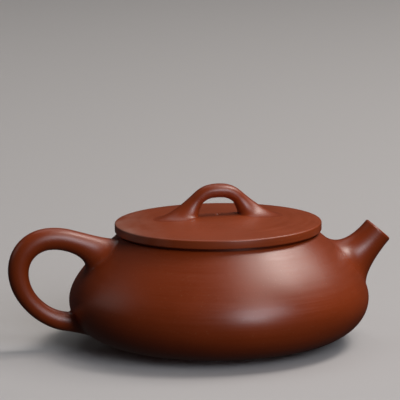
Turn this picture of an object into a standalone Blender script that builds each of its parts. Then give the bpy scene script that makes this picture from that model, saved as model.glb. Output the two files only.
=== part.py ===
"""A low, broad teapot of unglazed red clay, with a flat lid and a bridge-shaped knob.

Units are metres, +Z is up and the spout points along +X. The origin is under the middle of the
teapot, on the surface that it stands on. The pot and the lid are turned shapes about one upright
axis, POT_AXIS_X along from the origin. Outlines are given as radius and height about that axis.
"""
import math

import bmesh
import bpy
from mathutils import Matrix, Vector

MM = 0.001

# Driving dimensions: the whole teapot
HANDLE_REACH = 84.8 * MM
SPOUT_REACH = 70.6 * MM
POT_AXIS_X = (HANDLE_REACH - SPOUT_REACH) / 2
JOINT_GAP = 0.3 * MM
WALL = 2.8 * MM

# The pot's outer form
BELLY_RADIUS = 60.0 * MM
BELLY_HEIGHT = 18.2 * MM
BASE_RADIUS = 37.5 * MM
BASE_LIFT = 1.5 * MM
NECK_RADIUS = 39.8 * MM
NECK_HEIGHT = 44.4 * MM
NECK_SLOPE = math.radians(41.0)
SHOULDER_HANDLES = (0.32, 0.43)
LOWER_HANDLES = (0.55, 0.58)
FLOOR_RADIUS = 34.0 * MM
SEAM_STEP = 3
CURVE_STEPS = 10

# Mouth, lid and flange
COLLAR_OUTER = NECK_RADIUS - JOINT_GAP
COLLAR_INNER = 35.0 * MM
COLLAR_BOTTOM = 40.6 * MM
COLLAR_CHAMFER = 0.4 * MM
LID_RADIUS = 41.3 * MM
LID_BOTTOM = 45.9 * MM
LID_RIM = 49.1 * MM
LID_DOME_RISE = 2.9 * MM
LID_PLATE_THICKNESS = 1.5 * MM
LID_DOME_THICKNESS = 2.8 * MM
LID_EDGE_ROUNDING = 0.5 * MM
FLANGE_OUTER = 34.3 * MM
FLANGE_INNER = 31.8 * MM
FLANGE_BOTTOM = 39.6 * MM
FLANGE_CHAMFER = 0.6 * MM
VENT_RADIUS = 1.1 * MM

# Spout
SPOUT_SLOPE = math.radians(48.6)
SPOUT_TIP = (65.9 * MM, 43.1 * MM)
SPOUT_TIP_RADIUS = 6.1 * MM
SPOUT_NECK_RADIUS = 5.9 * MM
SPOUT_LENGTH = 21.0 * MM
SPOUT_LIP_SHARE = 0.25
SPOUT_FLARE = 6.2 * MM
SPOUT_FLARE_CURVE = 2.4
BORE_TIP_RADIUS = 4.0 * MM
BORE_ROOT_RADIUS = 5.4 * MM
BORE_LENGTH = 28.0 * MM
BORE_OVERRUN = 2.0 * MM

# Strainer
STRAINER_DEPTH = 16.6 * MM
STRAINER_RADIUS = 8.2 * MM
STRAINER_WALL = 1.6 * MM
STRAINER_HOLE_RADIUS = 0.9 * MM
STRAINER_HOLE_ROWS = ((0.0, 1), (25.0, 6), (48.0, 12))

# Handle: points on the middle of the strip as distance from the axis, height, and direction
HANDLE_KNOTS = (
    (-38.0 * MM, 35.8 * MM, 157.0),
    (-67.2 * MM, 45.1 * MM, 180.0),
    (-80.75 * MM, 32.0 * MM, 270.0),
    (-62.3 * MM, 11.7 * MM, 350.0),
    (-49.5 * MM, 10.8 * MM, 0.0),
)
HANDLE_ROUNDNESS = (0.40, 0.41, 0.36, 0.35)
HANDLE_STEPS = 7
HANDLE_THICK = 4.4 * MM
HANDLE_THIN = 3.4 * MM
HANDLE_ROOT_FLARE = 2.6 * MM
HANDLE_UPPER_ROOT = 0.22
HANDLE_LOWER_ROOT = 0.20
HANDLE_FLARE_CURVE = 1.7

# Knob
KNOB_TOP = 64.4 * MM
KNOB_RADIUS = 2.8 * MM
KNOB_LEG_REACH = 17.0 * MM
KNOB_LEG_HEIGHT = 47.9 * MM
KNOB_LEG_DIRECTION = 50.0
KNOB_ROUNDNESS = (0.38, 0.38)
KNOB_ROOT_FLARE = 4.0 * MM
KNOB_FLARE_CURVE = 3.0
KNOB_BREADTH = 1.15
KNOB_STEPS = 9

# Feet
FOOT_CIRCLE = 27.0 * MM
FOOT_RADIUS = 5.5 * MM
FOOT_FLAT_RADIUS = 3.6 * MM
FOOT_ANGLES = (0.0, 120.0, 240.0)

# Smoothness
TURN_STEPS = 64
TUBE_SIDES = 20


def clear_scene():
    for old in list(bpy.data.objects):
        bpy.data.objects.remove(old, do_unlink=True)


def clay(name, colour, roughness):
    material = bpy.data.materials.new(name)
    material.use_nodes = True
    shader = material.node_tree.nodes["Principled BSDF"]
    shader.inputs["Base Color"].default_value = (*colour, 1.0)
    shader.inputs["Roughness"].default_value = roughness
    shader.inputs["Metallic"].default_value = 0.0
    return material


def make_object(name, bm, colour, roughness=0.45):
    bmesh.ops.recalc_face_normals(bm, faces=bm.faces)
    mesh = bpy.data.meshes.new(name)
    bm.to_mesh(mesh)
    bm.free()
    mesh.shade_smooth()
    mesh.set_sharp_from_angle(angle=math.radians(35.0))
    thing = bpy.data.objects.new(name, mesh)
    mesh.materials.append(clay("clay_" + name, colour, roughness))
    bpy.context.scene.collection.objects.link(thing)
    return thing


def make_guide(name, bm):
    guide = make_object(name, bm, (0.5, 0.5, 0.5))
    guide.hide_render = True
    guide.display_type = "WIRE"
    return guide


def boolean(thing, guide, operation):
    cut = thing.modifiers.new(operation.lower() + "_" + guide.name, "BOOLEAN")
    cut.operation = operation
    cut.solver = "EXACT"
    cut.object = guide


def bezier(p0, p1, p2, p3, steps):
    """Points and unit tangents along one cubic curve in a plane."""
    rows = []
    for step in range(steps + 1):
        t = step / steps
        s = 1.0 - t
        point = p0 * s ** 3 + p1 * (3 * s * s * t) + p2 * (3 * s * t * t) + p3 * t ** 3
        tangent = (p1 - p0) * (s * s) + (p2 - p1) * (2 * s * t) + (p3 - p2) * (t * t)
        rows.append((point, tangent.normalized()))
    return rows


def heading(degrees):
    angle = math.radians(degrees)
    return Vector((math.cos(angle), math.sin(angle)))


def path_through(knots, roundness, steps):
    """A smooth plane path through knots of (x, z, direction in degrees)."""
    rows = []
    for index, share in enumerate(roundness):
        x0, z0, way0 = knots[index]
        x1, z1, way1 = knots[index + 1]
        start = Vector((x0, z0))
        end = Vector((x1, z1))
        reach = (end - start).length * share
        part = bezier(start, start + heading(way0) * reach, end - heading(way1) * reach, end, steps)
        rows.extend(part if not rows else part[1:])
    return rows


def pot_outline(offset=0.0):
    """The pot's side as (radius, height) from the neck down to the floor, moved out by offset."""
    neck = Vector((NECK_RADIUS, NECK_HEIGHT))
    belly = Vector((BELLY_RADIUS, BELLY_HEIGHT))
    base = Vector((BASE_RADIUS, BASE_LIFT))
    rise = NECK_HEIGHT - BELLY_HEIGHT
    slope = Vector((math.cos(NECK_SLOPE), -math.sin(NECK_SLOPE)))
    belly_handle, neck_handle = SHOULDER_HANDLES
    upper = bezier(
        neck,
        neck + slope * (neck - belly).length * neck_handle,
        belly + Vector((0.0, rise * belly_handle)),
        belly,
        CURVE_STEPS,
    )
    base_handle, side_handle = LOWER_HANDLES
    lower = bezier(
        belly,
        belly - Vector((0.0, (BELLY_HEIGHT - BASE_LIFT) * side_handle)),
        base + Vector(((BELLY_RADIUS - BASE_RADIUS) * base_handle, 0.0)),
        base,
        CURVE_STEPS,
    )
    outline = []
    for point, tangent in upper + lower[1:]:
        outward = Vector((-tangent.y, tangent.x))
        outline.append(point + outward * offset)
    return outline


def turn(outline, centre_x=POT_AXIS_X, centre_y=0.0, steps=TURN_STEPS):
    """Spin a closed outline of (radius, height) about an upright axis."""
    bm = bmesh.new()
    ring = [bm.verts.new((centre_x + radius, centre_y, height)) for radius, height in outline]
    edges = [bm.edges.new((ring[i], ring[(i + 1) % len(ring)])) for i in range(len(ring))]
    bmesh.ops.spin(
        bm,
        geom=ring + edges,
        cent=(centre_x, centre_y, 0.0),
        axis=(0.0, 0.0, 1.0),
        angle=2.0 * math.pi,
        steps=steps,
        use_merge=True,
    )
    bmesh.ops.remove_doubles(bm, verts=bm.verts, dist=0.01 * MM)
    axis_edges = [edge for edge in bm.edges if not edge.link_faces]
    bmesh.ops.delete(bm, geom=axis_edges, context="EDGES")
    return bm


def tube(path, radii, sides=TUBE_SIDES):
    """A solid tube in the XZ plane: path of (point, tangent), radii of (in plane, along Y)."""
    bm = bmesh.new()
    rings = []
    for (point, tangent), (high, wide) in zip(path, radii):
        normal = Vector((-tangent.y, tangent.x))
        ring = []
        for side in range(sides):
            angle = 2.0 * math.pi * side / sides
            across = normal * (high * math.cos(angle))
            x = POT_AXIS_X + point.x + across.x
            z = point.y + across.y
            ring.append(bm.verts.new((x, wide * math.sin(angle), z)))
        rings.append(ring)
    for first, second in zip(rings, rings[1:]):
        for side in range(sides):
            after = (side + 1) % sides
            bm.faces.new((first[side], first[after], second[after], second[side]))
    bm.faces.new(rings[0])
    bm.faces.new(rings[-1])
    return bm


def pot_form():
    """The pot's outer form, a little oversize, to trim what is luted on to it."""
    outline = [(point.x, point.y) for point in pot_outline(JOINT_GAP)]
    outline[0] = (outline[0][0], NECK_HEIGHT + JOINT_GAP)
    return make_guide("pot_form", turn([(0.0, outline[0][1])] + outline + [(0.0, outline[-1][1])]))


def cavity_form():
    """The space inside the wall, a little undersize, to trim the strainer."""
    outline = [(point.x, point.y) for point in pot_outline(-WALL - JOINT_GAP)]
    return make_guide("cavity_form", turn([(0.0, outline[0][1])] + outline + [(0.0, outline[-1][1])]))


def spout_path(length, steps):
    """From beyond the tip down along the bore's line."""
    tip = Vector(SPOUT_TIP)
    inward = Vector((-math.cos(SPOUT_SLOPE), -math.sin(SPOUT_SLOPE)))
    return [(tip + inward * (length * step / steps), inward) for step in range(steps + 1)]


def bore_form():
    steps = 4
    path = spout_path(BORE_LENGTH, steps)
    radii = []
    for step in range(steps + 1):
        radius = BORE_TIP_RADIUS + (BORE_ROOT_RADIUS - BORE_TIP_RADIUS) * step / steps
        radii.append((radius, radius))
    past_tip = path[0][0] - path[0][1] * BORE_OVERRUN
    path.insert(0, (past_tip, path[0][1]))
    radii.insert(0, radii[0])
    return make_guide("bore_form", tube(path, radii))


def body_wall(bore):
    outer = pot_outline()[SEAM_STEP:]
    inner = pot_outline(-WALL)[SEAM_STEP:]
    outline = [(point.x, point.y) for point in outer]
    outline.append((FLOOR_RADIUS + JOINT_GAP, BASE_LIFT))
    outline.append((FLOOR_RADIUS + JOINT_GAP, BASE_LIFT + WALL))
    outline.extend((point.x, point.y) for point in reversed(inner))
    wall = make_object("body_wall", turn(outline), (0.22, 0.055, 0.028))
    boolean(wall, bore, "DIFFERENCE")


def shoulder_disc():
    """The disc above the wall, from the seam in to the collar."""
    outer = pot_outline()[:SEAM_STEP + 1]
    inner = pot_outline(-WALL)[:SEAM_STEP + 1]
    along = (outer[-1] - outer[-2]).normalized() * JOINT_GAP
    outer[-1] = outer[-1] - along
    inner[-1] = inner[-1] - along
    inner[0] = Vector((NECK_RADIUS, inner[0].y - (NECK_RADIUS - inner[0].x) * math.tan(NECK_SLOPE)))
    outline = [(point.x, point.y) for point in outer + inner[::-1]]
    make_object("shoulder_disc", turn(outline), (0.24, 0.060, 0.030))


def base_disc():
    top = BASE_LIFT + WALL
    outline = [(0.0, top), (FLOOR_RADIUS, top), (FLOOR_RADIUS, BASE_LIFT), (0.0, BASE_LIFT)]
    make_object("base_disc", turn(outline), (0.20, 0.050, 0.026))


def mouth_ring():
    top = LID_BOTTOM - JOINT_GAP
    outline = [
        (COLLAR_INNER + COLLAR_CHAMFER, top),
        (COLLAR_OUTER - COLLAR_CHAMFER, top),
        (COLLAR_OUTER, top - COLLAR_CHAMFER),
        (COLLAR_OUTER, COLLAR_BOTTOM),
        (COLLAR_INNER, COLLAR_BOTTOM),
        (COLLAR_INNER, top - COLLAR_CHAMFER),
    ]
    make_object("mouth_ring", turn(outline), (0.23, 0.058, 0.030))


def foot(number, degrees):
    top = BASE_LIFT - JOINT_GAP
    outline = [(0.0, top), (FOOT_RADIUS, top), (FOOT_FLAT_RADIUS, 0.0), (0.0, 0.0)]
    way = heading(degrees)
    centre_x = POT_AXIS_X + FOOT_CIRCLE * way.x
    bm = turn(outline, centre_x, FOOT_CIRCLE * way.y, steps=24)
    make_object("foot_%d" % number, bm, (0.19, 0.048, 0.025))


def spout(pot, bore):
    """A conical tube, flared where it meets the shoulder."""
    steps = 12
    radii = []
    for step in range(steps + 1):
        t = step / steps
        lip = (SPOUT_TIP_RADIUS - SPOUT_NECK_RADIUS) * max(0.0, 1.0 - t / SPOUT_LIP_SHARE)
        radius = SPOUT_NECK_RADIUS + lip + SPOUT_FLARE * t ** SPOUT_FLARE_CURVE
        radii.append((radius, radius))
    thing = make_object("spout", tube(spout_path(SPOUT_LENGTH, steps), radii, 28), (0.25, 0.062, 0.032))
    boolean(thing, pot, "DIFFERENCE")
    boolean(thing, bore, "DIFFERENCE")


def hole_pins(centre, axis):
    """Thin pins from the dome's centre outwards, one for each hole of the strainer."""
    bm = bmesh.new()
    side = axis.orthogonal().normalized()
    length = STRAINER_RADIUS + STRAINER_WALL
    for polar, count in STRAINER_HOLE_ROWS:
        for index in range(count):
            tilt = Matrix.Rotation(math.radians(polar), 4, side)
            swing = Matrix.Rotation(2.0 * math.pi * (index + 0.5) / count, 4, axis)
            way = swing @ tilt @ axis
            middle = centre + way * ((length + STRAINER_RADIUS) / 2)
            turn_to_way = way.to_track_quat("Z", "Y").to_matrix().to_4x4()
            bmesh.ops.create_cone(
                bm,
                cap_ends=True,
                segments=8,
                radius1=STRAINER_HOLE_RADIUS,
                radius2=STRAINER_HOLE_RADIUS,
                depth=length,
                matrix=Matrix.Translation(middle) @ turn_to_way,
            )
    return make_guide("strainer_pins", bm)


def ball(centre, radius):
    bm = bmesh.new()
    bmesh.ops.create_uvsphere(bm, u_segments=24, v_segments=12, radius=radius)
    bmesh.ops.translate(bm, verts=bm.verts, vec=centre)
    return bm


def strainer(cavity):
    """A perforated clay dome over the inner end of the bore."""
    point, inward = spout_path(STRAINER_DEPTH, 1)[-1]
    centre = Vector((POT_AXIS_X + point.x, 0.0, point.y))
    axis = Vector((inward.x, 0.0, inward.y))
    dome = make_object("strainer", ball(centre, STRAINER_RADIUS), (0.21, 0.052, 0.027))
    hollow = make_guide("strainer_hollow", ball(centre, STRAINER_RADIUS - STRAINER_WALL))
    boolean(dome, cavity, "INTERSECT")
    boolean(dome, hollow, "DIFFERENCE")
    boolean(dome, hole_pins(centre, axis), "DIFFERENCE")


def handle(pot):
    """An ear-shaped strip, thickest at the top and flared where it meets the pot."""
    path = path_through(HANDLE_KNOTS, HANDLE_ROUNDNESS, HANDLE_STEPS)
    last = len(path) - 1
    radii = []
    for index in range(len(path)):
        t = index / last
        into_upper = max(0.0, 1.0 - t / HANDLE_UPPER_ROOT)
        into_lower = max(0.0, 1.0 - (1.0 - t) / HANDLE_LOWER_ROOT)
        radius = HANDLE_THICK + (HANDLE_THIN - HANDLE_THICK) * t
        radius += HANDLE_ROOT_FLARE * (into_upper ** HANDLE_FLARE_CURVE + into_lower ** HANDLE_FLARE_CURVE)
        radii.append((radius, radius))
    thing = make_object("handle", tube(path, radii), (0.25, 0.062, 0.032))
    boolean(thing, pot, "DIFFERENCE")


def lid_top(radius):
    return LID_RIM + LID_DOME_RISE * (1.0 - (radius / LID_RADIUS) ** 2)


def lid_top_outline(offset=0.0):
    """The domed top from the middle out to the rim."""
    steps = 7
    rim = LID_RADIUS - LID_EDGE_ROUNDING
    return [(rim * step / steps, lid_top(rim * step / steps) + offset) for step in range(steps + 1)]


def vent_form():
    bm = bmesh.new()
    depth = 3.0 * LID_DOME_THICKNESS
    bmesh.ops.create_cone(
        bm,
        cap_ends=True,
        segments=12,
        radius1=VENT_RADIUS,
        radius2=VENT_RADIUS,
        depth=depth,
        matrix=Matrix.Translation((POT_AXIS_X, 0.0, LID_RIM)),
    )
    return make_guide("vent_form", bm)


def lid_dome():
    plate_top = LID_BOTTOM + LID_PLATE_THICKNESS
    underside = plate_top + JOINT_GAP
    outline = lid_top_outline()
    outline.append((LID_RADIUS, LID_RIM - LID_EDGE_ROUNDING))
    outline.append((LID_RADIUS, underside))
    outline.append((FLANGE_INNER, underside))
    outline.append((0.0, lid_top(0.0) - LID_DOME_THICKNESS))
    dome = make_object("lid_dome", turn(outline), (0.26, 0.065, 0.034))
    boolean(dome, vent_form(), "DIFFERENCE")


def lid_plate():
    top = LID_BOTTOM + LID_PLATE_THICKNESS
    outline = [
        (FLANGE_INNER, top),
        (LID_RADIUS, top),
        (LID_RADIUS, LID_BOTTOM + LID_EDGE_ROUNDING),
        (LID_RADIUS - LID_EDGE_ROUNDING, LID_BOTTOM),
        (FLANGE_INNER, LID_BOTTOM),
    ]
    make_object("lid_plate", turn(outline), (0.25, 0.062, 0.032))


def lid_flange():
    top = LID_BOTTOM - JOINT_GAP
    outline = [
        (FLANGE_INNER, top),
        (FLANGE_OUTER, top),
        (FLANGE_OUTER, FLANGE_BOTTOM + FLANGE_CHAMFER),
        (FLANGE_OUTER - FLANGE_CHAMFER, FLANGE_BOTTOM),
        (FLANGE_INNER, FLANGE_BOTTOM),
    ]
    make_object("lid_flange", turn(outline), (0.24, 0.060, 0.031))


def lid_form():
    """The lid's top face, a little oversize, to trim the feet of the knob."""
    outline = lid_top_outline(JOINT_GAP)
    outline.append((outline[-1][0], FLANGE_BOTTOM))
    outline.append((0.0, FLANGE_BOTTOM))
    return make_guide("lid_form", turn(outline))


def lid_knob(lid):
    """A bridge over the vent, its two legs flared on to the lid."""
    top = KNOB_TOP - KNOB_RADIUS
    knots = (
        (-KNOB_LEG_REACH, KNOB_LEG_HEIGHT, KNOB_LEG_DIRECTION),
        (0.0, top, 0.0),
        (KNOB_LEG_REACH, KNOB_LEG_HEIGHT, -KNOB_LEG_DIRECTION),
    )
    path = path_through(knots, KNOB_ROUNDNESS, KNOB_STEPS)
    middle = (len(path) - 1) / 2
    radii = []
    for index in range(len(path)):
        share = abs(index - middle) / middle
        radius = KNOB_RADIUS + KNOB_ROOT_FLARE * share ** KNOB_FLARE_CURVE
        radii.append((radius, radius * KNOB_BREADTH))
    thing = make_object("lid_knob", tube(path, radii), (0.27, 0.068, 0.036))
    boolean(thing, lid, "DIFFERENCE")


def main():
    clear_scene()
    pot = pot_form()
    cavity = cavity_form()
    bore = bore_form()
    body_wall(bore)
    shoulder_disc()
    base_disc()
    mouth_ring()
    for number, degrees in enumerate(FOOT_ANGLES, start=1):
        foot(number, degrees)
    spout(pot, bore)
    strainer(cavity)
    handle(pot)
    lid_plate()
    lid_dome()
    lid_flange()
    lid_knob(lid_form())


main()
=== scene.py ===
"""Looks of a low, broad teapot of unglazed red clay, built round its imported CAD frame.

Everything is in metres in the frame's own axes: +X towards the spout, +Z up. The pot and the lid
are turned shapes about one upright axis. The spout, handle and knob are drawn out of tubes whose
roots flare and land tangentially on the turned surface that they grow from.
"""

import math

import bpy
import numpy as np
from mathutils import Matrix, Vector


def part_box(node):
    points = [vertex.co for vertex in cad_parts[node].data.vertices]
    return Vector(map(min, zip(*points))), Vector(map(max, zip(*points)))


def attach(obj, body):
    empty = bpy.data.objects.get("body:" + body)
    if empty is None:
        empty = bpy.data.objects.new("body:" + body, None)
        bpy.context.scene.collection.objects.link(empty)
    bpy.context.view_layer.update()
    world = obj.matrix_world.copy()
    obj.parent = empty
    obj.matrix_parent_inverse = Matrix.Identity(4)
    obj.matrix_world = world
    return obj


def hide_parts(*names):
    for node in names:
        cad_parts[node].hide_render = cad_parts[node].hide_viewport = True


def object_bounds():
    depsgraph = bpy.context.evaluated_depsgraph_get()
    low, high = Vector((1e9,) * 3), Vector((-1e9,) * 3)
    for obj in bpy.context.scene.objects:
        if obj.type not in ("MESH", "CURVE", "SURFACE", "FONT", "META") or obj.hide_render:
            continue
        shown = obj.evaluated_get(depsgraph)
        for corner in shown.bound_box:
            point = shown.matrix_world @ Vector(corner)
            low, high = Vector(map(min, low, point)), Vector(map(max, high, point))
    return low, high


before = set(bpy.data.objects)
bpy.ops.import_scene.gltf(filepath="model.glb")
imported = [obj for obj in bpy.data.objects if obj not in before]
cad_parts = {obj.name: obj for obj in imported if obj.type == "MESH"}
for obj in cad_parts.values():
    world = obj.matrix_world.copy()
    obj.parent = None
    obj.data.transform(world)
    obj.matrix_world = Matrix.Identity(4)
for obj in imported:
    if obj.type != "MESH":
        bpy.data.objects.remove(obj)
CAD_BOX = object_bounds()

MM = 0.001

# Places and sizes read from the frame
WALL_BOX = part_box("body_wall")
SHOULDER_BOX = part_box("shoulder_disc")
BASE_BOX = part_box("base_disc")
COLLAR_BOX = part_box("mouth_ring")
SPOUT_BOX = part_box("spout")
HANDLE_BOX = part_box("handle")
FLANGE_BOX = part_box("lid_flange")
PLATE_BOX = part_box("lid_plate")
DOME_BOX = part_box("lid_dome")
KNOB_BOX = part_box("lid_knob")
AXIS_X = (WALL_BOX[0].x + WALL_BOX[1].x) / 2
BELLY_RADIUS = (WALL_BOX[1].y - WALL_BOX[0].y) / 2
BASE_Z = WALL_BOX[0].z
FLOOR_TOP_Z = BASE_BOX[1].z
NECK_Z = SHOULDER_BOX[1].z
COLLAR_RADIUS = (COLLAR_BOX[1].y - COLLAR_BOX[0].y) / 2
COLLAR_FOOT_Z = COLLAR_BOX[0].z
LID_RADIUS = (PLATE_BOX[1].y - PLATE_BOX[0].y) / 2
LID_BOTTOM_Z = PLATE_BOX[0].z
PLATE_TOP_Z = PLATE_BOX[1].z
LID_CROWN_Z = DOME_BOX[1].z
FLANGE_OUTER = (FLANGE_BOX[1].y - FLANGE_BOX[0].y) / 2
FLANGE_BOTTOM_Z = FLANGE_BOX[0].z
HANDLE_CORNER = np.array([HANDLE_BOX[0].x - AXIS_X, HANDLE_BOX[1].z])
KNOB_TOP = np.array([0.0, KNOB_BOX[1].z])

# The pot's side: a smooth curve from the neck over the belly to the base
BELLY_Z = 18.2 * MM
BASE_RADIUS = 37.5 * MM
NECK_RADIUS = COLLAR_RADIUS + 0.3 * MM
NECK_SLOPE = math.radians(41.0)
SHOULDER_HANDLES = (0.32, 0.43)
LOWER_HANDLES = (0.55, 0.58)
WALL_THICKNESS = 2.8 * MM

# Underside and floor of the pot
BASE_HOLLOW = 0.5 * MM
BASE_RIM_WIDTH = 2.6 * MM
BASE_RIM_RISE = 0.1 * MM
HOLLOW_START = 5.0 * MM
FLOOR_INSET = 4.0 * MM

# Collar round the mouth, with a dark groove under the lid
COLLAR_INNER = 35.0 * MM
COLLAR_RECESS = 1.7 * MM
COLLAR_ROUNDING = 0.45 * MM
GROOVE_DEPTH = 0.9 * MM
GROOVE_WIDTH = 0.3 * MM
GROOVE_RISE = 0.2 * MM
NECK_EDGE = 0.05 * MM
NECK_EDGE_RISE = 0.02 * MM
WALL_CLEAR_OF_COLLAR = 0.4 * MM
CONTACT_GAP = 0.06 * MM

# Lid and flange
LID_DOME_RISE = 2.9 * MM
LID_ARRIS = 0.6 * MM
ARRIS_TURN = 84
LID_TOP_START = 1.2 * MM
LID_TOP_STEPS = 40
RIM_DROP = 0.35 * MM
RIM_DROP_START = 1.2 * MM
RIM_DROP_END = 0.8 * MM
CROWN_THICKNESS = 2.8 * MM
UNDERSIDE_START = 0.15
UNDERSIDE_STEPS = 8
UNDERSIDE_INSET = 0.4 * MM
VENT_RADIUS = 1.1 * MM
VENT_EDGE = 0.35 * MM
VENT_EDGE_HALFWAY = 0.08 * MM
VENT_FLARE = (0.4 * MM, 0.1 * MM)
VENT_LOWER_EDGE = (0.3 * MM, 0.2 * MM)
RIM_LIFT = 0.02 * MM
FLANGE_INNER = 31.8 * MM
FLANGE_ROUNDING = 0.5 * MM

# Spout
SPOUT_SLOPE = math.radians(48.6)
SPOUT_TIP_RADIUS = 6.1 * MM
BORE_TIP_RADIUS = 4.0 * MM
BORE_ROOT_RADIUS = 5.4 * MM
BORE_LENGTH = 28.0 * MM
BORE_CUT_START = 8.0 * MM
BORE_CUT_CLEARANCE = 0.05 * MM
BORE_LANDING_SHARE = 0.86
SPOUT_LIP = 0.9 * MM

# How a tube's root reaches the turned surface, in millimetres. The rows are how far the skirt runs
# past where the tube would meet the surface, how long the tube's direction holds, and how long the
# surface's does. Each row is for the tube's left, its flanks and its right.
SPOUT_ROOT = ((9.5, 7.0, 5.8), (10.0, 9.0, 8.0), (6.0, 5.5, 5.0))
HANDLE_UPPER_ROOT = ((9.0, 5.0, 2.0), (6.0, 7.0, 8.0), (6.0, 5.0, 2.5))
HANDLE_LOWER_ROOT = ((2.0, 2.5, 3.0), (2.0, 3.0, 4.0), (1.2, 2.0, 2.5))
KNOB_ROOT = ((6.0, 5.0, 0.6), (6.5, 4.0, 2.5), (5.0, 3.0, 0.4))

# Paths of the bent tubes: x and z, heading in degrees, pull in and pull out. The handle's x runs from
# its outermost end and its z from its top, the knob's x from the pot's axis and its z from its top.
# The radii are given at shares of the path. All lengths are in millimetres.
HANDLE_KNOTS = (
    (24.25, -5.15, 163.5, 0.0, 0.36),
    (17.25, -4.15, 180.0, 0.36, 0.41),
    (3.95, -17.25, 270.0, 0.41, 0.36),
    (22.05, -37.65, 350.0, 0.33, 0.0),
)
HANDLE_RADII = (
    (0.0, 4.4),
    (0.33, 4.35),
    (0.5, 4.5),
    (0.66, 4.15),
    (0.8, 3.6),
    (0.92, 3.6),
    (1.0, 3.85),
)
KNOB_KNOTS = (
    (-8.0, -5.65, 42.0, 0.0, 0.40),
    (0.0, -2.8, 0.0, 0.40, 0.40),
    (8.0, -5.65, -42.0, 0.40, 0.0),
)
KNOB_RADII = ((0.0, 2.65), (0.5, 2.8), (1.0, 2.65))
KNOB_TURN_IN = 22.0
KNOB_BREADTH = 1.2

# Button feet
FOOT_FLAT = 3.6 * MM
FOOT_EDGE = 0.7 * MM
FOOT_EDGE_RISE = 0.8 * MM
FOOT_FLARE = 0.6 * MM
FOOT_SINK = 0.7 * MM

# Smoothness
TURN_SIDES = 192
TUBE_SIDES = 96
TUBE_STEPS = 16
SPOUT_ROOT_STEPS = 40
BORE_RINGS = 12
CUTTER_RINGS = 4
CUTTER_SIDES = 48
FOOT_SIDES = 48
FOOT_STEPS = 8
LIP_STEPS = 8
EDGE_STEPS = 5
FLANGE_STEPS = 4
SIDE_STEPS = 300
LID_STEPS = 400
RADIUS_SMOOTHING = 6
SHARP_DEGREES = 38.0
SKIRT_PROUD = 0.02 * MM
ROOT_DEPTH = 1.0 * MM
ROOT_TUCK = 0.3 * MM
ROOT_REACH = 60.0 * MM
TINY = 1e-9

# Clay
CLAY_RED = (0.257, 0.0365, 0.0050)
LID_RED = (0.305, 0.051, 0.0105)
INSIDE_RED = (0.24, 0.043, 0.015)
SPECK_COLOUR = (0.42, 0.17, 0.08)
DRY_COLOUR = (0.42, 0.24, 0.19)
DRY_START_X = -24.0 * MM
DRY_FULL_X = -42.0 * MM
BURNISHED = 0.36
BURNISHED_IOR = 1.62
MATT = 0.62
MATT_IOR = 1.5
GRAIN_SCALE = 2600.0
SPECK_SCALE = 1500.0
DRIFT_SCALE = 45.0
STREAK_SCALE = 1300.0
STREAK_STRETCH = 0.02
STREAK_SLANT = -0.6
RELIEF_DEPTH = 0.03 * MM
RELIEF_STRENGTH = 0.5

# Camera: its place round the pot's axis, then the way that it looks from there
CAMERA_TURN = math.radians(-11.0)
CAMERA_RISE = math.radians(11.6)
CAMERA_DISTANCE = 1.3
CAMERA_AIM_Z = 25.3 * MM
CAMERA_PITCH = math.radians(10.19)
CAMERA_YAW = math.radians(-0.32)
CAMERA_ROLL = math.radians(-0.653)
CAMERA_LENS = 292.1
SENSOR_WIDTH = 36.0
NEAREST_SEEN = 0.05

# Soft boxes: degrees to the right of the camera, degrees up, size in metres, watts and colour
COOL = (0.96, 0.97, 1.05)
WARM = (1.05, 0.96, 0.90)
PLAIN = (1.0, 1.0, 1.0)
LIGHTS = (
    ("front_low", 27.0, 14.0, (0.6, 0.7), 4.6, COOL),
    ("front_middle", 27.0, 30.0, (0.6, 0.7), 7.2, COOL),
    ("front_side", 44.0, 32.0, (0.65, 0.7), 4.8, COOL),
    ("front_high", 42.0, 52.0, (0.65, 0.7), 3.2, WARM),
    ("key", 108.0, 58.0, (0.6, 0.5), 12.6, WARM),
    ("key_low", 128.0, 45.0, (0.6, 0.5), 5.4, WARM),
    ("key_high", 88.0, 71.0, (0.6, 0.5), 4.4, WARM),
    ("left", -98.0, 28.0, (1.0, 1.0), 1.2, PLAIN),
    ("back", 175.0, 60.0, (1.6, 1.2), 4.6, PLAIN),
)
LIGHT_DISTANCE = 2.0
LIGHT_AIM_Z = 0.03
AMBIENT = 0.02
FLOOR_RADIUS = 5.0
FLOOR_GREY = 0.55
FLOOR_ROUGHNESS = 0.7


# ------------------------------------------------------------------ outlines and surfaces

def bezier(p0, p1, p2, p3, steps):
    """Points and unit tangents of a cubic curve. The points may be rows of many curves."""
    points = []
    tangents = []
    for t in np.linspace(0.0, 1.0, steps + 1):
        s = 1.0 - t
        points.append(s ** 3 * p0 + 3 * s * s * t * p1 + 3 * s * t * t * p2 + t ** 3 * p3)
        slope = s * s * (p1 - p0) + 2 * s * t * (p2 - p1) + t * t * (p3 - p2)
        tangents.append(slope / np.linalg.norm(slope, axis=-1, keepdims=True))
    return np.array(points), np.array(tangents)


def heading(degrees):
    angle = math.radians(degrees)
    return np.array([math.cos(angle), math.sin(angle)])


def arc(centre, radius, start, end, steps):
    """Points on an arc of an outline, angles in degrees."""
    angles = np.radians(np.linspace(start, end, steps + 1))
    return [np.array([centre[0] + radius * math.cos(a), centre[1] + radius * math.sin(a)]) for a in angles]


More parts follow.
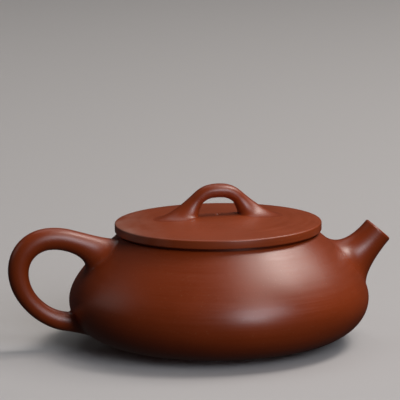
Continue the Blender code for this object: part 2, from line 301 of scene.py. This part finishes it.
def pot_side(offset=0.0, steps=36):
    """The pot's side as rows of (radius, height) from the neck down to the base, and tangents."""
    neck = np.array([NECK_RADIUS, NECK_Z])
    belly = np.array([BELLY_RADIUS, BELLY_Z])
    base = np.array([BASE_RADIUS, BASE_Z])
    slope = np.array([math.cos(NECK_SLOPE), -math.sin(NECK_SLOPE)])
    belly_handle, neck_handle = SHOULDER_HANDLES
    base_handle, side_handle = LOWER_HANDLES
    upper, upper_way = bezier(
        neck,
        neck + slope * np.linalg.norm(neck - belly) * neck_handle,
        belly + np.array([0.0, (NECK_Z - BELLY_Z) * belly_handle]),
        belly,
        steps,
    )
    lower, lower_way = bezier(
        belly,
        belly - np.array([0.0, (BELLY_Z - BASE_Z) * side_handle]),
        base + np.array([(BELLY_RADIUS - BASE_RADIUS) * base_handle, 0.0]),
        base,
        steps,
    )
    points = np.vstack([upper, lower[1:]])
    ways = np.vstack([upper_way, lower_way[1:]])
    outward = np.column_stack([-ways[:, 1], ways[:, 0]])
    return points + outward * offset, ways


def lid_top(radius):
    rim = LID_CROWN_Z - LID_DOME_RISE
    return rim + LID_DOME_RISE * (1.0 - (radius / LID_RADIUS) ** 2)


class Turned:
    """A turned surface about the pot's axis, given by rows of (radius, height)."""

    def __init__(self, points, ways):
        self.points = points
        self.normals = np.column_stack([-ways[:, 1], ways[:, 0]])

    def nearest(self, places):
        """For rows of places: the nearest points on the surface, its normals, and the heights above it."""
        x = places[:, 0] - AXIS_X
        y = places[:, 1]
        radius = np.hypot(x, y)
        flat = np.column_stack([radius, places[:, 2]])
        start = self.points[:-1]
        step = self.points[1:] - start
        share = ((flat[:, None] - start) * step).sum(-1) / (step ** 2).sum(-1)
        share = np.clip(share, 0.0, 1.0)
        foot = start + share[..., None] * step
        gap = np.linalg.norm(flat[:, None] - foot, axis=-1)
        best = gap.argmin(1)
        row = np.arange(len(places))
        share = share[row, best][:, None]
        foot = foot[row, best]
        normal = self.normals[best] * (1.0 - share) + self.normals[best + 1] * share
        normal /= np.linalg.norm(normal, axis=1, keepdims=True)
        height = ((flat - foot) * normal).sum(1)
        across = np.column_stack([x, y]) / np.maximum(radius, TINY)[:, None]
        on = np.column_stack([AXIS_X + across[:, 0] * foot[:, 0], across[:, 1] * foot[:, 0], foot[:, 1]])
        out = np.column_stack([across * normal[:, :1], normal[:, 1]])
        return on, out, height

    def hit(self, places, ways, reach):
        """Where straight lines from the places along the ways first pass through the surface."""
        probes = 80
        halvings = 24
        near = np.zeros(len(places))
        far = np.full(len(places), reach)
        found = np.zeros(len(places), bool)
        for probe in range(1, probes + 1):
            depth = reach * probe / probes
            inside = self.nearest(places + ways * depth)[2] < 0
            fresh = inside & ~found
            far[fresh] = depth
            near[~inside & ~found] = depth
            found |= inside
        for _ in range(halvings):
            middle = (near + far) / 2
            inside = self.nearest(places + ways * middle[:, None])[2] < 0
            far = np.where(inside, middle, far)
            near = np.where(inside, near, middle)
        return places + ways * far[:, None]

    def walk(self, places, ways, lengths):
        """Goes along the surface from the places, in the ways given, as far as the lengths say."""
        steps = 16
        here, normal, _ = self.nearest(places)
        for _ in range(steps):
            ways = ways - normal * (ways * normal).sum(1, keepdims=True)
            ways /= np.linalg.norm(ways, axis=1, keepdims=True)
            here, normal, _ = self.nearest(here + ways * lengths[:, None] / steps)
        ways = ways - normal * (ways * normal).sum(1, keepdims=True)
        ways /= np.linalg.norm(ways, axis=1, keepdims=True)
        return here, ways, normal


# ------------------------------------------------------------------ meshes

def add_mesh(name, vertices, faces):
    mesh = bpy.data.meshes.new(name)
    mesh.from_pydata([tuple(v) for v in vertices], [], faces)
    mesh.validate()
    mesh.shade_smooth()
    mesh.set_sharp_from_angle(angle=math.radians(SHARP_DEGREES))
    mesh.update()
    thing = bpy.data.objects.new(name, mesh)
    bpy.context.scene.collection.objects.link(thing)
    return thing


def turn(name, outline, sides=TURN_SIDES, centre=(AXIS_X, 0.0)):
    """Turns a closed outline of (radius, height), counter-clockwise, into a solid."""
    centre_x, centre_y = centre
    vertices = []
    rings = []
    for radius, height in outline:
        if radius < TINY:
            rings.append([len(vertices)] * sides)
            vertices.append((centre_x, centre_y, height))
            continue
        ring = []
        for side in range(sides):
            angle = 2.0 * math.pi * side / sides
            x = centre_x + radius * math.cos(angle)
            y = centre_y + radius * math.sin(angle)
            ring.append(len(vertices))
            vertices.append((x, y, height))
        rings.append(ring)
    faces = []
    for first, second in zip(rings, rings[1:] + rings[:1]):
        for side in range(sides):
            after = (side + 1) % sides
            corners = [first[side], first[after], second[after], second[side]]
            distinct = list(dict.fromkeys(corners))
            if len(distinct) > 2:
                faces.append(distinct)
    return add_mesh(name, vertices, faces)


def loft(name, rings, closed=False, caps=()):
    """A skin over rings of equal length. caps gives a middle point for the first and last ring."""
    sides = len(rings[0])
    vertices = [tuple(point) for ring in rings for point in ring]
    faces = []
    count = len(rings)
    for index in range(count if closed else count - 1):
        first = index * sides
        second = (index + 1) % count * sides
        for side in range(sides):
            after = (side + 1) % sides
            faces.append((first + side, first + after, second + after, second + side))
    if caps:
        for middle, start, forward in ((caps[0], 0, False), (caps[1], (count - 1) * sides, True)):
            centre = len(vertices)
            vertices.append(tuple(middle))
            for side in range(sides):
                after = (side + 1) % sides
                edge = (start + side, start + after) if forward else (start + after, start + side)
                faces.append((*edge, centre))
    return add_mesh(name, vertices, faces)


def cut(thing, cutter):
    """Takes the cutter's shape out of the thing for good."""
    modifier = thing.modifiers.new("cut", "BOOLEAN")
    modifier.operation = "DIFFERENCE"
    modifier.solver = "EXACT"
    modifier.object = cutter
    bpy.context.view_layer.update()
    result = bpy.data.meshes.new_from_object(thing.evaluated_get(bpy.context.evaluated_depsgraph_get()))
    thing.modifiers.clear()
    thing.data = result
    bpy.data.objects.remove(cutter)


def around(sides=TUBE_SIDES):
    return np.linspace(0.0, 2.0 * math.pi, sides, endpoint=False)


def spokes(way, sides=TUBE_SIDES):
    """Unit spokes of a ring whose axis lies in the XZ plane along way. The first points to way's left."""
    left = np.array([-way[2], 0.0, way[0]])
    across = np.array([0.0, 1.0, 0.0])
    angles = around(sides)
    return np.cos(angles)[:, None] * left + np.sin(angles)[:, None] * across


def in_plane(flat):
    """A point of the upright mid plane, given as distance from the pot's axis and height."""
    return np.array([AXIS_X + flat[0], 0.0, flat[1]])


def by_side(left, flank, right, sides=TUBE_SIDES):
    """A value round a ring, given to the left of the tube's way, on its two flanks and to the right."""
    lean = np.cos(around(sides))
    middle = (left + right) / 2
    return middle + (left - right) / 2 * lean + (flank - middle) * (1.0 - lean ** 2)


def root(surface, ring, way, spoke, shape, turn_in=0.0, steps=28):
    """Rings that carry a tube's last ring on to the surface and end flush with it, and one under it.

    shape gives, for the ring's left, flanks and right, how far the skirt reaches past where the tube
    would meet the surface, and how long the tube's and the surface's directions hold. turn_in turns
    the lines of the tube's right side by that many degrees.
    """
    bend = np.radians(by_side(0.0, turn_in / 2, turn_in, len(ring)))[:, None]
    ways = np.cos(bend) * way + np.sin(bend) * np.array([-way[2], 0.0, way[0]])
    landing = surface.hit(ring, ways, ROOT_REACH)
    skirt, start_pull, end_pull = (by_side(*(size * MM for size in row), len(ring)) for row in shape)
    edge, out, normal = surface.walk(landing, spoke, skirt)
    edge = edge + normal * SKIRT_PROUD
    first_pull = ring + ways * start_pull[:, None]
    last_pull = edge - out * end_pull[:, None]
    rows, _ = bezier(ring, first_pull, last_pull, edge, steps)
    dive = edge - normal * ROOT_DEPTH - out * ROOT_TUCK
    return list(rows[1:]), dive, landing


# ------------------------------------------------------------------ the pieces

def pot_body():
    """Wall, shoulder, floor and collar, fired into one."""
    outer, _ = pot_side()
    inner, _ = pot_side(-WALL_THICKNESS)
    collar_top = LID_BOTTOM_Z - CONTACT_GAP
    rounding = COLLAR_ROUNDING
    recessed = COLLAR_RADIUS - COLLAR_RECESS
    groove_z = NECK_Z - GROOVE_DEPTH
    outline = [
        np.array([0.0, BASE_Z + BASE_HOLLOW]),
        np.array([BASE_RADIUS - HOLLOW_START, BASE_Z + BASE_HOLLOW]),
        np.array([BASE_RADIUS - BASE_RIM_WIDTH, BASE_Z + BASE_RIM_RISE]),
    ]
    outline.extend(outer[::-1][:-1])
    outline.append(np.array([NECK_RADIUS + NECK_EDGE, NECK_Z + NECK_EDGE_RISE]))
    outline.append(np.array([recessed + GROOVE_WIDTH, groove_z]))
    outline.append(np.array([recessed, groove_z + GROOVE_RISE]))
    outline.extend(arc((recessed - rounding, collar_top - rounding), rounding, 0, 90, EDGE_STEPS))
    inside = COLLAR_INNER + rounding
    outline.extend(arc((inside, collar_top - rounding), rounding, 90, 180, EDGE_STEPS))
    outline.extend(arc((inside, COLLAR_FOOT_Z + rounding), rounding, 180, 270, EDGE_STEPS))
    tucked = [point for point in inner if point[1] < COLLAR_FOOT_Z - WALL_CLEAR_OF_COLLAR]
    outline.extend(tucked[:-1])
    outline.append(np.array([BASE_RADIUS - FLOOR_INSET, FLOOR_TOP_Z]))
    outline.append(np.array([0.0, FLOOR_TOP_Z]))
    body = turn("pot_body", outline)
    cut(body, bore_cutter())
    return body


def bore_cutter():
    """The solid that opens the pot's wall behind the spout."""
    tip, inward = spout_axis()
    rings = []
    for depth in np.linspace(BORE_CUT_START, BORE_LENGTH, CUTTER_RINGS):
        radius = bore_radius(depth) + BORE_CUT_CLEARANCE
        rings.append(tip + inward * depth + spokes(inward, CUTTER_SIDES) * radius)
    return loft("bore_cutter", rings, caps=(tip + inward * BORE_CUT_START, tip + inward * BORE_LENGTH))


def spout_axis():
    """The middle of the spout's end, and the way down its bore."""
    tip = np.array([
        SPOUT_BOX[1].x - SPOUT_TIP_RADIUS * math.sin(SPOUT_SLOPE),
        0.0,
        SPOUT_BOX[1].z - SPOUT_TIP_RADIUS * math.cos(SPOUT_SLOPE),
    ])
    return tip, np.array([-math.cos(SPOUT_SLOPE), 0.0, -math.sin(SPOUT_SLOPE)])


def bore_radius(depth):
    return BORE_TIP_RADIUS + (BORE_ROOT_RADIUS - BORE_TIP_RADIUS) * depth / BORE_LENGTH


def spout(surface):
    """The spout with its bore, from inside the wall, round the lip and back down to its flared root."""
    tip, inward = spout_axis()
    spoke = -spokes(inward)
    spoke[:, 1] *= -1.0
    outer_round = arc((SPOUT_TIP_RADIUS - SPOUT_LIP, SPOUT_LIP), SPOUT_LIP, 270, 360, LIP_STEPS)
    inner_round = arc((BORE_TIP_RADIUS + SPOUT_LIP, SPOUT_LIP), SPOUT_LIP, 180, 270, LIP_STEPS)
    rings = []
    landing = surface.hit(tip + spoke * BORE_ROOT_RADIUS * BORE_LANDING_SHARE, inward, ROOT_REACH)
    depth = ((landing - tip) @ inward) + ROOT_DEPTH
    bore_end = tip + inward * depth[:, None] + spoke * bore_radius(depth)[:, None]
    start_depth = 2.0 * SPOUT_LIP
    bore_start = tip + inward * start_depth + spoke * bore_radius(start_depth)
    for share in np.linspace(0.0, 1.0, BORE_RINGS):
        rings.append(bore_end * (1.0 - share) + bore_start * share)
    for radius, depth in inner_round + outer_round:
        rings.append(tip + inward * depth + spoke * radius)
    flared, dive, _ = root(surface, rings[-1], inward, spoke, SPOUT_ROOT, steps=SPOUT_ROOT_STEPS)
    rings.extend(flared)
    rings.append(dive)
    return loft("spout_flared", rings, closed=True)


def tube_rings(path, ways, radii, breadth):
    """Rings along a path in the mid plane. breadth is how much wider they are across it than in it."""
    rings = []
    for point, way, radius in zip(path, ways, radii):
        along = np.array([way[0], 0.0, way[1]])
        rings.append(in_plane(point) + spokes(along) * radius * np.array([1.0, breadth, 1.0]))
    return rings


def path_through(origin, knots):
    """Points and headings through knots of (x, z, heading, pull in, pull out), x and z from the origin."""
    points = []
    ways = []
    for first, second in zip(knots, knots[1:]):
        start = origin + np.array(first[:2]) * MM
        end = origin + np.array(second[:2]) * MM
        reach = np.linalg.norm(end - start)
        part, way = bezier(
            start,
            start + heading(first[2]) * reach * first[4],
            end - heading(second[2]) * reach * second[3],
            end,
            TUBE_STEPS,
        )
        skip = 1 if points else 0
        points.extend(part[skip:])
        ways.extend(way[skip:])
    return np.array(points), np.array(ways)


def drawn_tube(name, surface, origin, knots, radii, roots, turn_in=0.0, breadth=1.0):
    """A bent tube, both of whose ends flare on to the surface. radii are rows of (place, radius)."""
    path, ways = path_through(origin, knots)
    places, sizes = zip(*radii)
    radius = np.interp(np.linspace(0.0, 1.0, len(path)), places, sizes) * MM
    for _ in range(RADIUS_SMOOTHING):
        radius[1:-1] = (radius[:-2] + 2.0 * radius[1:-1] + radius[2:]) / 4
    rings = tube_rings(path, ways, radius, breadth)
    ends = []
    for index, sign, shape in ((0, -1.0, roots[0]), (-1, 1.0, roots[1])):
        along = np.array([ways[index][0], 0.0, ways[index][1]])
        spoke = spokes(along)
        flared, dive, landing = root(surface, rings[index], along * sign, spoke, shape, -turn_in * sign)
        middle, normal, _ = surface.nearest(landing.mean(0)[None])
        ends.append((flared + [dive], middle[0] - normal[0] * ROOT_DEPTH))
    all_rings = ends[0][0][::-1] + rings + ends[1][0]
    return loft(name, all_rings, caps=(ends[0][1], ends[1][1]))


def handle(surface):
    roots = (HANDLE_UPPER_ROOT, HANDLE_LOWER_ROOT)
    return drawn_tube("handle_ear", surface, HANDLE_CORNER, HANDLE_KNOTS, HANDLE_RADII, roots)


def knob(surface):
    """The bridge over the vent."""
    return drawn_tube(
        "knob_bridge",
        surface,
        KNOB_TOP,
        KNOB_KNOTS,
        KNOB_RADII,
        (KNOB_ROOT, KNOB_ROOT),
        KNOB_TURN_IN,
        KNOB_BREADTH,
    )


def lid_disc():
    """The plate and the dome above it, one piece of clay, pierced by the vent."""
    arris = LID_ARRIS
    rim_top = LID_CROWN_Z - LID_DOME_RISE + RIM_LIFT
    rim_bottom = LID_BOTTOM_Z - RIM_DROP
    under = LID_CROWN_Z - CROWN_THICKNESS
    outline = [
        np.array([FLANGE_INNER, LID_BOTTOM_Z]),
        np.array([COLLAR_RADIUS - RIM_DROP_START, LID_BOTTOM_Z]),
        np.array([COLLAR_RADIUS - RIM_DROP_END, rim_bottom]),
    ]
    outline.extend(arc((LID_RADIUS - arris, rim_bottom + arris), arris, 270, 360, EDGE_STEPS))
    outline.extend(arc((LID_RADIUS - arris, rim_top - arris), arris, 0, ARRIS_TURN, EDGE_STEPS))
    for radius in np.linspace(LID_RADIUS - LID_TOP_START, VENT_RADIUS + VENT_FLARE[0], LID_TOP_STEPS):
        outline.append(np.array([radius, lid_top(radius)]))
    outline.append(np.array([VENT_RADIUS + VENT_FLARE[1], LID_CROWN_Z - VENT_EDGE_HALFWAY]))
    outline.append(np.array([VENT_RADIUS, LID_CROWN_Z - VENT_EDGE]))
    outline.append(np.array([VENT_RADIUS, under + VENT_LOWER_EDGE[1]]))
    outline.append(np.array([VENT_RADIUS + VENT_LOWER_EDGE[0], under]))
    for share in np.linspace(UNDERSIDE_START, 1.0, UNDERSIDE_STEPS):
        radius = VENT_RADIUS + (FLANGE_INNER - UNDERSIDE_INSET - VENT_RADIUS) * share
        outline.append(np.array([radius, under + (PLATE_TOP_Z - under) * share ** 2]))
    return turn("lid_disc", outline)


def lid_flange():
    """The ring that drops into the mouth."""
    top = LID_BOTTOM_Z - CONTACT_GAP
    rounding = FLANGE_ROUNDING
    outline = [np.array([FLANGE_INNER, top])]
    low = FLANGE_BOTTOM_Z + rounding
    outline.extend(arc((FLANGE_INNER + rounding, low), rounding, 180, 270, FLANGE_STEPS))
    outline.extend(arc((FLANGE_OUTER - rounding, low), rounding, 270, 360, FLANGE_STEPS))
    outline.append(np.array([FLANGE_OUTER, top]))
    return turn("flange_ring", outline)


def foot(number):
    low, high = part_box("foot_%d" % number)
    centre = ((low.x + high.x) / 2, (low.y + high.y) / 2)
    radius = (high.x - low.x) / 2
    top = BASE_Z + FOOT_SINK
    side, _ = bezier(
        np.array([FOOT_FLAT, low.z]),
        np.array([radius - FOOT_EDGE, low.z]),
        np.array([radius, low.z + FOOT_EDGE_RISE]),
        np.array([radius + FOOT_FLARE, top]),
        FOOT_STEPS,
    )
    outline = [np.array([0.0, low.z]), *side, np.array([0.0, top])]
    return turn("button_foot_%d" % number, outline, sides=FOOT_SIDES, centre=centre)


# ------------------------------------------------------------------ materials

class Nodes:
    """Short ways to add and link the nodes of one material."""

    def __init__(self, name):
        self.material = bpy.data.materials.new(name)
        self.material.use_nodes = True
        self.tree = self.material.node_tree
        self.shader = self.tree.nodes["Principled BSDF"]

    def feed(self, socket, value):
        """Links a socket to another, or sets it to a number, a colour or a vector."""
        if isinstance(value, bpy.types.NodeSocket):
            self.tree.links.new(value, socket)
        else:
            socket.default_value = value

    def noise(self, vector, scale, detail, rough=0.55):
        made = self.tree.nodes.new("ShaderNodeTexNoise")
        made.inputs["Scale"].default_value = scale
        made.inputs["Detail"].default_value = detail
        made.inputs["Roughness"].default_value = rough
        self.feed(made.inputs["Vector"], vector)
        return made.outputs["Fac"]

    def ramp(self, value, low, high, to_low, to_high):
        """Takes low..high to to_low..to_high, and holds the ends."""
        made = self.tree.nodes.new("ShaderNodeMapRange")
        made.inputs["From Min"].default_value = low
        made.inputs["From Max"].default_value = high
        made.inputs["To Min"].default_value = to_low
        made.inputs["To Max"].default_value = to_high
        self.feed(made.inputs["Value"], value)
        return made.outputs["Result"]

    def mix(self, share, first, second):
        made = self.tree.nodes.new("ShaderNodeMix")
        made.data_type = "RGBA"
        self.feed(made.inputs["Factor"], share)
        self.feed(made.inputs["A"], first)
        self.feed(made.inputs["B"], second)
        return made.outputs["Result"]

    def work_out(self, operation, first, second):
        made = self.tree.nodes.new("ShaderNodeMath")
        made.operation = operation
        self.feed(made.inputs[0], first)
        self.feed(made.inputs[1], second)
        return made.outputs["Value"]

    def add(self, first, second):
        return self.work_out("ADD", first, second)

    def times(self, first, second):
        return self.work_out("MULTIPLY", first, second)


def opaque(colour, gain=(1.0, 1.0, 1.0)):
    """A colour as four channels, each of the first three times its gain."""
    return (*(channel * part for channel, part in zip(colour, gain)), 1.0)


def turning_lanes(nodes, place):
    """A vector whose noise runs in lanes round the pot's axis, and the distance along X from the axis."""
    centred = nodes.tree.nodes.new("ShaderNodeVectorMath")
    centred.operation = "SUBTRACT"
    nodes.feed(centred.inputs[0], place)
    nodes.feed(centred.inputs[1], (AXIS_X, 0.0, 0.0))
    flat = nodes.tree.nodes.new("ShaderNodeVectorMath")
    flat.operation = "MULTIPLY"
    nodes.feed(flat.inputs[0], centred.outputs["Vector"])
    nodes.feed(flat.inputs[1], (1.0, 1.0, 0.0))
    radius = nodes.tree.nodes.new("ShaderNodeVectorMath")
    radius.operation = "LENGTH"
    nodes.feed(radius.inputs[0], flat.outputs["Vector"])
    split = nodes.tree.nodes.new("ShaderNodeSeparateXYZ")
    nodes.feed(split.inputs["Vector"], centred.outputs["Vector"])
    lanes = nodes.tree.nodes.new("ShaderNodeCombineXYZ")
    nodes.feed(lanes.inputs["X"], nodes.times(split.outputs["X"], STREAK_STRETCH))
    nodes.feed(lanes.inputs["Y"], nodes.times(split.outputs["Y"], STREAK_STRETCH))
    slant = nodes.times(radius.outputs["Value"], STREAK_SLANT)
    nodes.feed(lanes.inputs["Z"], nodes.add(slant, split.outputs["Z"]))
    return lanes.outputs["Vector"], split.outputs["X"]


def clay_tone(nodes, colour, streaks, patterns):
    """The clay's colour with slow drifts, grain, pale and dark specks, and turning streaks."""
    grain, specks, drift, streak = patterns
    dark = opaque(colour, (0.72, 0.72, 0.72))
    light = opaque(colour, (1.22, 1.35, 1.45))
    duller = opaque(colour, (0.92, 0.92, 0.92))
    brighter = opaque(colour, (1.08, 1.08, 1.08))
    tone = nodes.mix(nodes.ramp(drift, 0.3, 0.7, 0.0, 1.0), duller, brighter)
    for pattern, start, full, strength, tint in (
        (grain, 0.62, 0.78, 0.55, light),
        (specks, 0.70, 0.76, 0.3, opaque(SPECK_COLOUR)),
        (specks, 0.30, 0.24, 0.5, dark),
        (streak, 0.55, 0.80, 0.35 * streaks, light),
        (streak, 0.45, 0.20, 0.35 * streaks, dark),
    ):
        tone = nodes.mix(nodes.ramp(pattern, start, full, 0.0, strength), tone, tint)
    return tone


def dry_patch(nodes, tone, drift, x):
    """A paler, drier bloom on the handle's side of the lid."""
    share = nodes.times(
        nodes.ramp(x, DRY_START_X, DRY_FULL_X, 0.0, 1.0),
        nodes.ramp(drift, 0.35, 0.6, 0.1, 0.65),
    )
    return nodes.mix(share, tone, opaque(DRY_COLOUR))


def clay_gloss(nodes, roughness, streaks, patterns):
    grain, _, drift, streak = patterns
    gloss = nodes.add(
        nodes.ramp(grain, 0.3, 0.7, roughness - 0.035, roughness + 0.035),
        nodes.ramp(streak, 0.3, 0.7, -0.04 * streaks, 0.04 * streaks),
    )
    return nodes.add(gloss, nodes.ramp(drift, 0.3, 0.7, -0.02, 0.02))


def clay_relief(nodes, streaks, patterns):
    """Fine grain and turning marks."""
    grain, _, _, streak = patterns
    bump = nodes.tree.nodes.new("ShaderNodeBump")
    bump.inputs["Strength"].default_value = RELIEF_STRENGTH
    bump.inputs["Distance"].default_value = RELIEF_DEPTH
    nodes.feed(bump.inputs["Height"], nodes.add(grain, nodes.times(streak, 0.9 * streaks)))
    return bump.outputs["Normal"]


def clay(name, colour, streaks, roughness=BURNISHED, ior=BURNISHED_IOR, dry=False):
    """Red clay. streaks says how strongly the marks of turning show."""
    nodes = Nodes(name)
    place = nodes.tree.nodes.new("ShaderNodeTexCoord").outputs["Object"]
    lanes, x = turning_lanes(nodes, place)
    grain = nodes.noise(place, GRAIN_SCALE, 3.0, 0.6)
    specks = nodes.noise(place, SPECK_SCALE, 1.0, 0.4)
    drift = nodes.noise(place, DRIFT_SCALE, 3.0)
    streak = nodes.noise(lanes, STREAK_SCALE, 3.0)
    patterns = (grain, specks, drift, streak)
    tone = clay_tone(nodes, colour, streaks, patterns)
    if dry:
        tone = dry_patch(nodes, tone, drift, x)
    nodes.feed(nodes.shader.inputs["Base Color"], tone)
    nodes.feed(nodes.shader.inputs["Roughness"], clay_gloss(nodes, roughness, streaks, patterns))
    nodes.feed(nodes.shader.inputs["Normal"], clay_relief(nodes, streaks, patterns))
    nodes.shader.inputs["IOR"].default_value = ior
    return nodes.material


def paint(thing, material):
    thing.data.materials.clear()
    thing.data.materials.append(material)


# ------------------------------------------------------------------ camera, light and floor

def add_camera():
    """The camera looks at the pot from a little above, the handle's end nearer than the spout's."""
    place = Vector((0.0, -math.cos(CAMERA_RISE), math.sin(CAMERA_RISE))) * CAMERA_DISTANCE
    place.z += CAMERA_AIM_Z
    forward = Vector((
        math.sin(CAMERA_YAW) * math.cos(CAMERA_PITCH),
        math.cos(CAMERA_YAW) * math.cos(CAMERA_PITCH),
        -math.sin(CAMERA_PITCH),
    ))
    right = forward.cross(Vector((0.0, 0.0, 1.0))).normalized()
    up = right.cross(forward)
    tilted_right = right * math.cos(CAMERA_ROLL) + up * math.sin(CAMERA_ROLL)
    tilted_up = up * math.cos(CAMERA_ROLL) - right * math.sin(CAMERA_ROLL)
    pose = Matrix((tilted_right, tilted_up, -forward)).transposed().to_4x4()
    pose.translation = place
    data = bpy.data.cameras.new("camera")
    data.sensor_width = SENSOR_WIDTH
    data.lens = CAMERA_LENS
    data.clip_start = NEAREST_SEEN
    camera = bpy.data.objects.new("camera", data)
    about_axis = Matrix.Translation((AXIS_X, 0.0, 0.0)) @ Matrix.Rotation(CAMERA_TURN, 4, "Z")
    camera.matrix_world = about_axis @ pose
    bpy.context.scene.collection.objects.link(camera)
    bpy.context.scene.camera = camera


def add_light(name, side, rise, size, power, colour):
    """A soft box. side is degrees to the right of the camera, rise is degrees above the floor."""
    angle = math.radians(side) + CAMERA_TURN
    lift = math.radians(rise)
    way = Vector((math.sin(angle) * math.cos(lift), -math.cos(angle) * math.cos(lift), math.sin(lift)))
    data = bpy.data.lights.new(name, "AREA")
    data.shape = "RECTANGLE"
    data.size, data.size_y = size
    data.energy = power
    data.color = colour
    light = bpy.data.objects.new(name, data)
    light.location = Vector((AXIS_X, 0.0, LIGHT_AIM_Z)) + way * LIGHT_DISTANCE
    light.rotation_euler = (-way).to_track_quat("-Z", "Y").to_euler()
    bpy.context.scene.collection.objects.link(light)


def add_lights():
    """Soft boxes to the front right and the back right, and weak ones for the left and the back."""
    for row in LIGHTS:
        add_light(*row)
    world = bpy.data.worlds.new("studio")
    world.use_nodes = True
    world.node_tree.nodes["Background"].inputs["Color"].default_value = (AMBIENT, AMBIENT, AMBIENT, 1.0)
    bpy.context.scene.world = world
    bpy.context.scene.view_settings.view_transform = "Standard"


def add_floor():
    """A plain pale floor. It throws no light back on the pot, so the lower belly stays in shade."""
    height = CAD_BOX[0][2]
    edge = [(AXIS_X + FLOOR_RADIUS * math.cos(a), FLOOR_RADIUS * math.sin(a), height) for a in around()]
    floor = add_mesh("floor", edge, [tuple(range(len(edge)))])
    material = bpy.data.materials.new("pale_floor")
    material.use_nodes = True
    shader = material.node_tree.nodes["Principled BSDF"]
    shader.inputs["Base Color"].default_value = (FLOOR_GREY, FLOOR_GREY, FLOOR_GREY, 1.0)
    shader.inputs["Roughness"].default_value = FLOOR_ROUGHNESS
    paint(floor, material)
    floor.visible_diffuse = False
    floor.visible_glossy = False


# ------------------------------------------------------------------ assembly

def place(thing, body, slot, nodes, material):
    paint(thing, material)
    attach(thing, body)
    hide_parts(*nodes)


def pot_surface():
    points, ways = pot_side(steps=SIDE_STEPS)
    return Turned(points, ways)


def lid_surface():
    radii = np.linspace(0.0, LID_RADIUS, LID_STEPS)
    ways = np.column_stack([np.ones_like(radii), -2.0 * LID_DOME_RISE * radii / LID_RADIUS ** 2])
    ways /= np.linalg.norm(ways, axis=1, keepdims=True)
    return Turned(np.column_stack([radii, lid_top(radii)]), ways)


def build():
    turned_clay = clay("turned_clay", CLAY_RED, 1.0)
    drawn_clay = clay("drawn_clay", CLAY_RED, 0.25)
    lid_clay = clay("lid_clay", LID_RED, 1.0, dry=True)
    matt_clay = clay("matt_clay", INSIDE_RED, 1.0, roughness=MATT, ior=MATT_IOR)
    pot = pot_surface()
    lid = lid_surface()

    walls = ("body_wall", "base_disc", "shoulder_disc", "mouth_ring")
    place(pot_body(), "pot", "pot_clay", walls, turned_clay)
    place(spout(pot), "pot", "pot_clay", ("spout",), drawn_clay)
    place(handle(pot), "pot", "pot_clay", ("handle",), drawn_clay)
    for number in (1, 2, 3):
        place(foot(number), "pot", "foot_clay", ("foot_%d" % number,), matt_clay)
    paint(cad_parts["strainer"], matt_clay)
    place(lid_flange(), "lid_seat", "inner_clay", ("lid_flange",), matt_clay)
    place(lid_disc(), "lid", "lid_clay", ("lid_plate", "lid_dome"), lid_clay)
    place(knob(lid), "lid", "lid_clay", ("lid_knob",), drawn_clay)


build()
add_floor()
add_lights()
add_camera()
